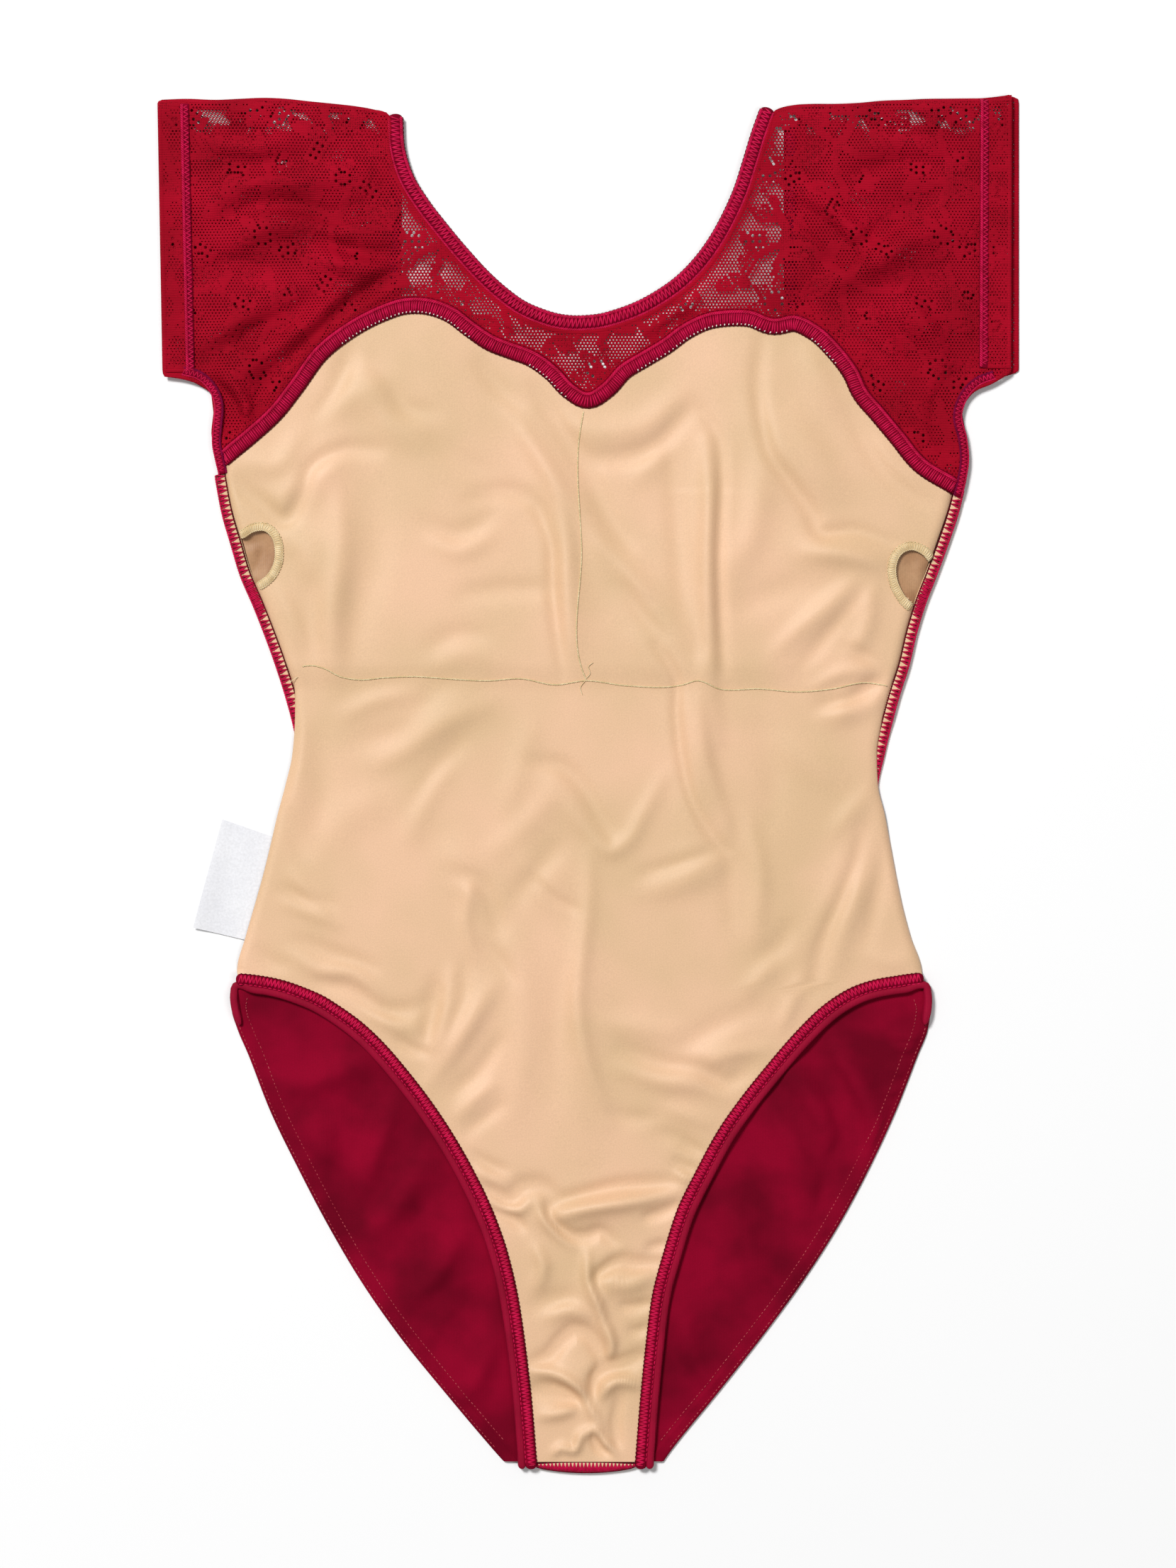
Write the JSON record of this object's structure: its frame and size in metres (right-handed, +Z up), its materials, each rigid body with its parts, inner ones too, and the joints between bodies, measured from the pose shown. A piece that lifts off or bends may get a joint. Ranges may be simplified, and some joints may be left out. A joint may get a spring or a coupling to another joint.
{
  "type": "lined lace-yoke bodysuit, inside out",
  "caption": "Short-sleeved stretch bodysuit with a lace yoke and cap sleeves, turned inside out and laid flat so that its smooth front lining, pad openings and overlocked seams show.",
  "frame": {"origin": "on the surface that the garment lies on, under the middle of its outline", "axes": "+X to the right of the front as it lies, +Y from the crotch towards the neck, +Z up from the surface"},
  "size_m": [0.4245, 0.6809, 0.0077],
  "materials": {
    "back_panel": "matte jersey",
    "back_neck_binding": "matte overlocked edge",
    "back_lace_left": "matte stretch lace",
    "back_lace_right": "matte stretch lace",
    "front_shell": "matte jersey",
    "bust_facing": "satin tricot",
    "front_lining": "satin tricot",
    "front_yoke": "matte stretch lace",
    "sleeve_hem_left": "matte stretch lace",
    "sleeve_hem_right": "matte stretch lace",
    "neck_binding": "matte overlocked edge",
    "yoke_seam": "matte overlocked edge",
    "side_seam_left": "matte overlocked edge",
    "side_seam_right": "matte overlocked edge",
    "underarm_seam_left": "matte overlocked edge",
    "underarm_seam_right": "matte overlocked edge",
    "leg_band_left": "matte overlocked edge",
    "leg_band_right": "matte overlocked edge",
    "pad_opening_left": "matte overlocked edge",
    "pad_opening_right": "matte overlocked edge",
    "crotch_seam": "matte overlocked edge",
    "care_label": "satin"
  },
  "bodies": {
    "root": {"back_panel": "back_panel", "back_neck_binding": "back_neck_binding", "back_lace_left": "back_lace_left", "back_lace_right": "back_lace_right", "front_shell": "front_shell", "bust_facing": "bust_facing", "front_lining": "front_lining", "front_yoke": "front_yoke", "sleeve_hem_left": "sleeve_hem_left", "sleeve_hem_right": "sleeve_hem_right", "neck_binding": "neck_binding", "yoke_seam": "yoke_seam", "side_seam_left": "side_seam_left", "side_seam_right": "side_seam_right", "underarm_seam_left": "underarm_seam_left", "underarm_seam_right": "underarm_seam_right", "leg_band_left": "leg_band_left", "leg_band_right": "leg_band_right", "pad_opening_left": "pad_opening_left", "pad_opening_right": "pad_opening_right", "crotch_seam": "crotch_seam", "care_label": "care_label"}
  },
  "joints": []
}
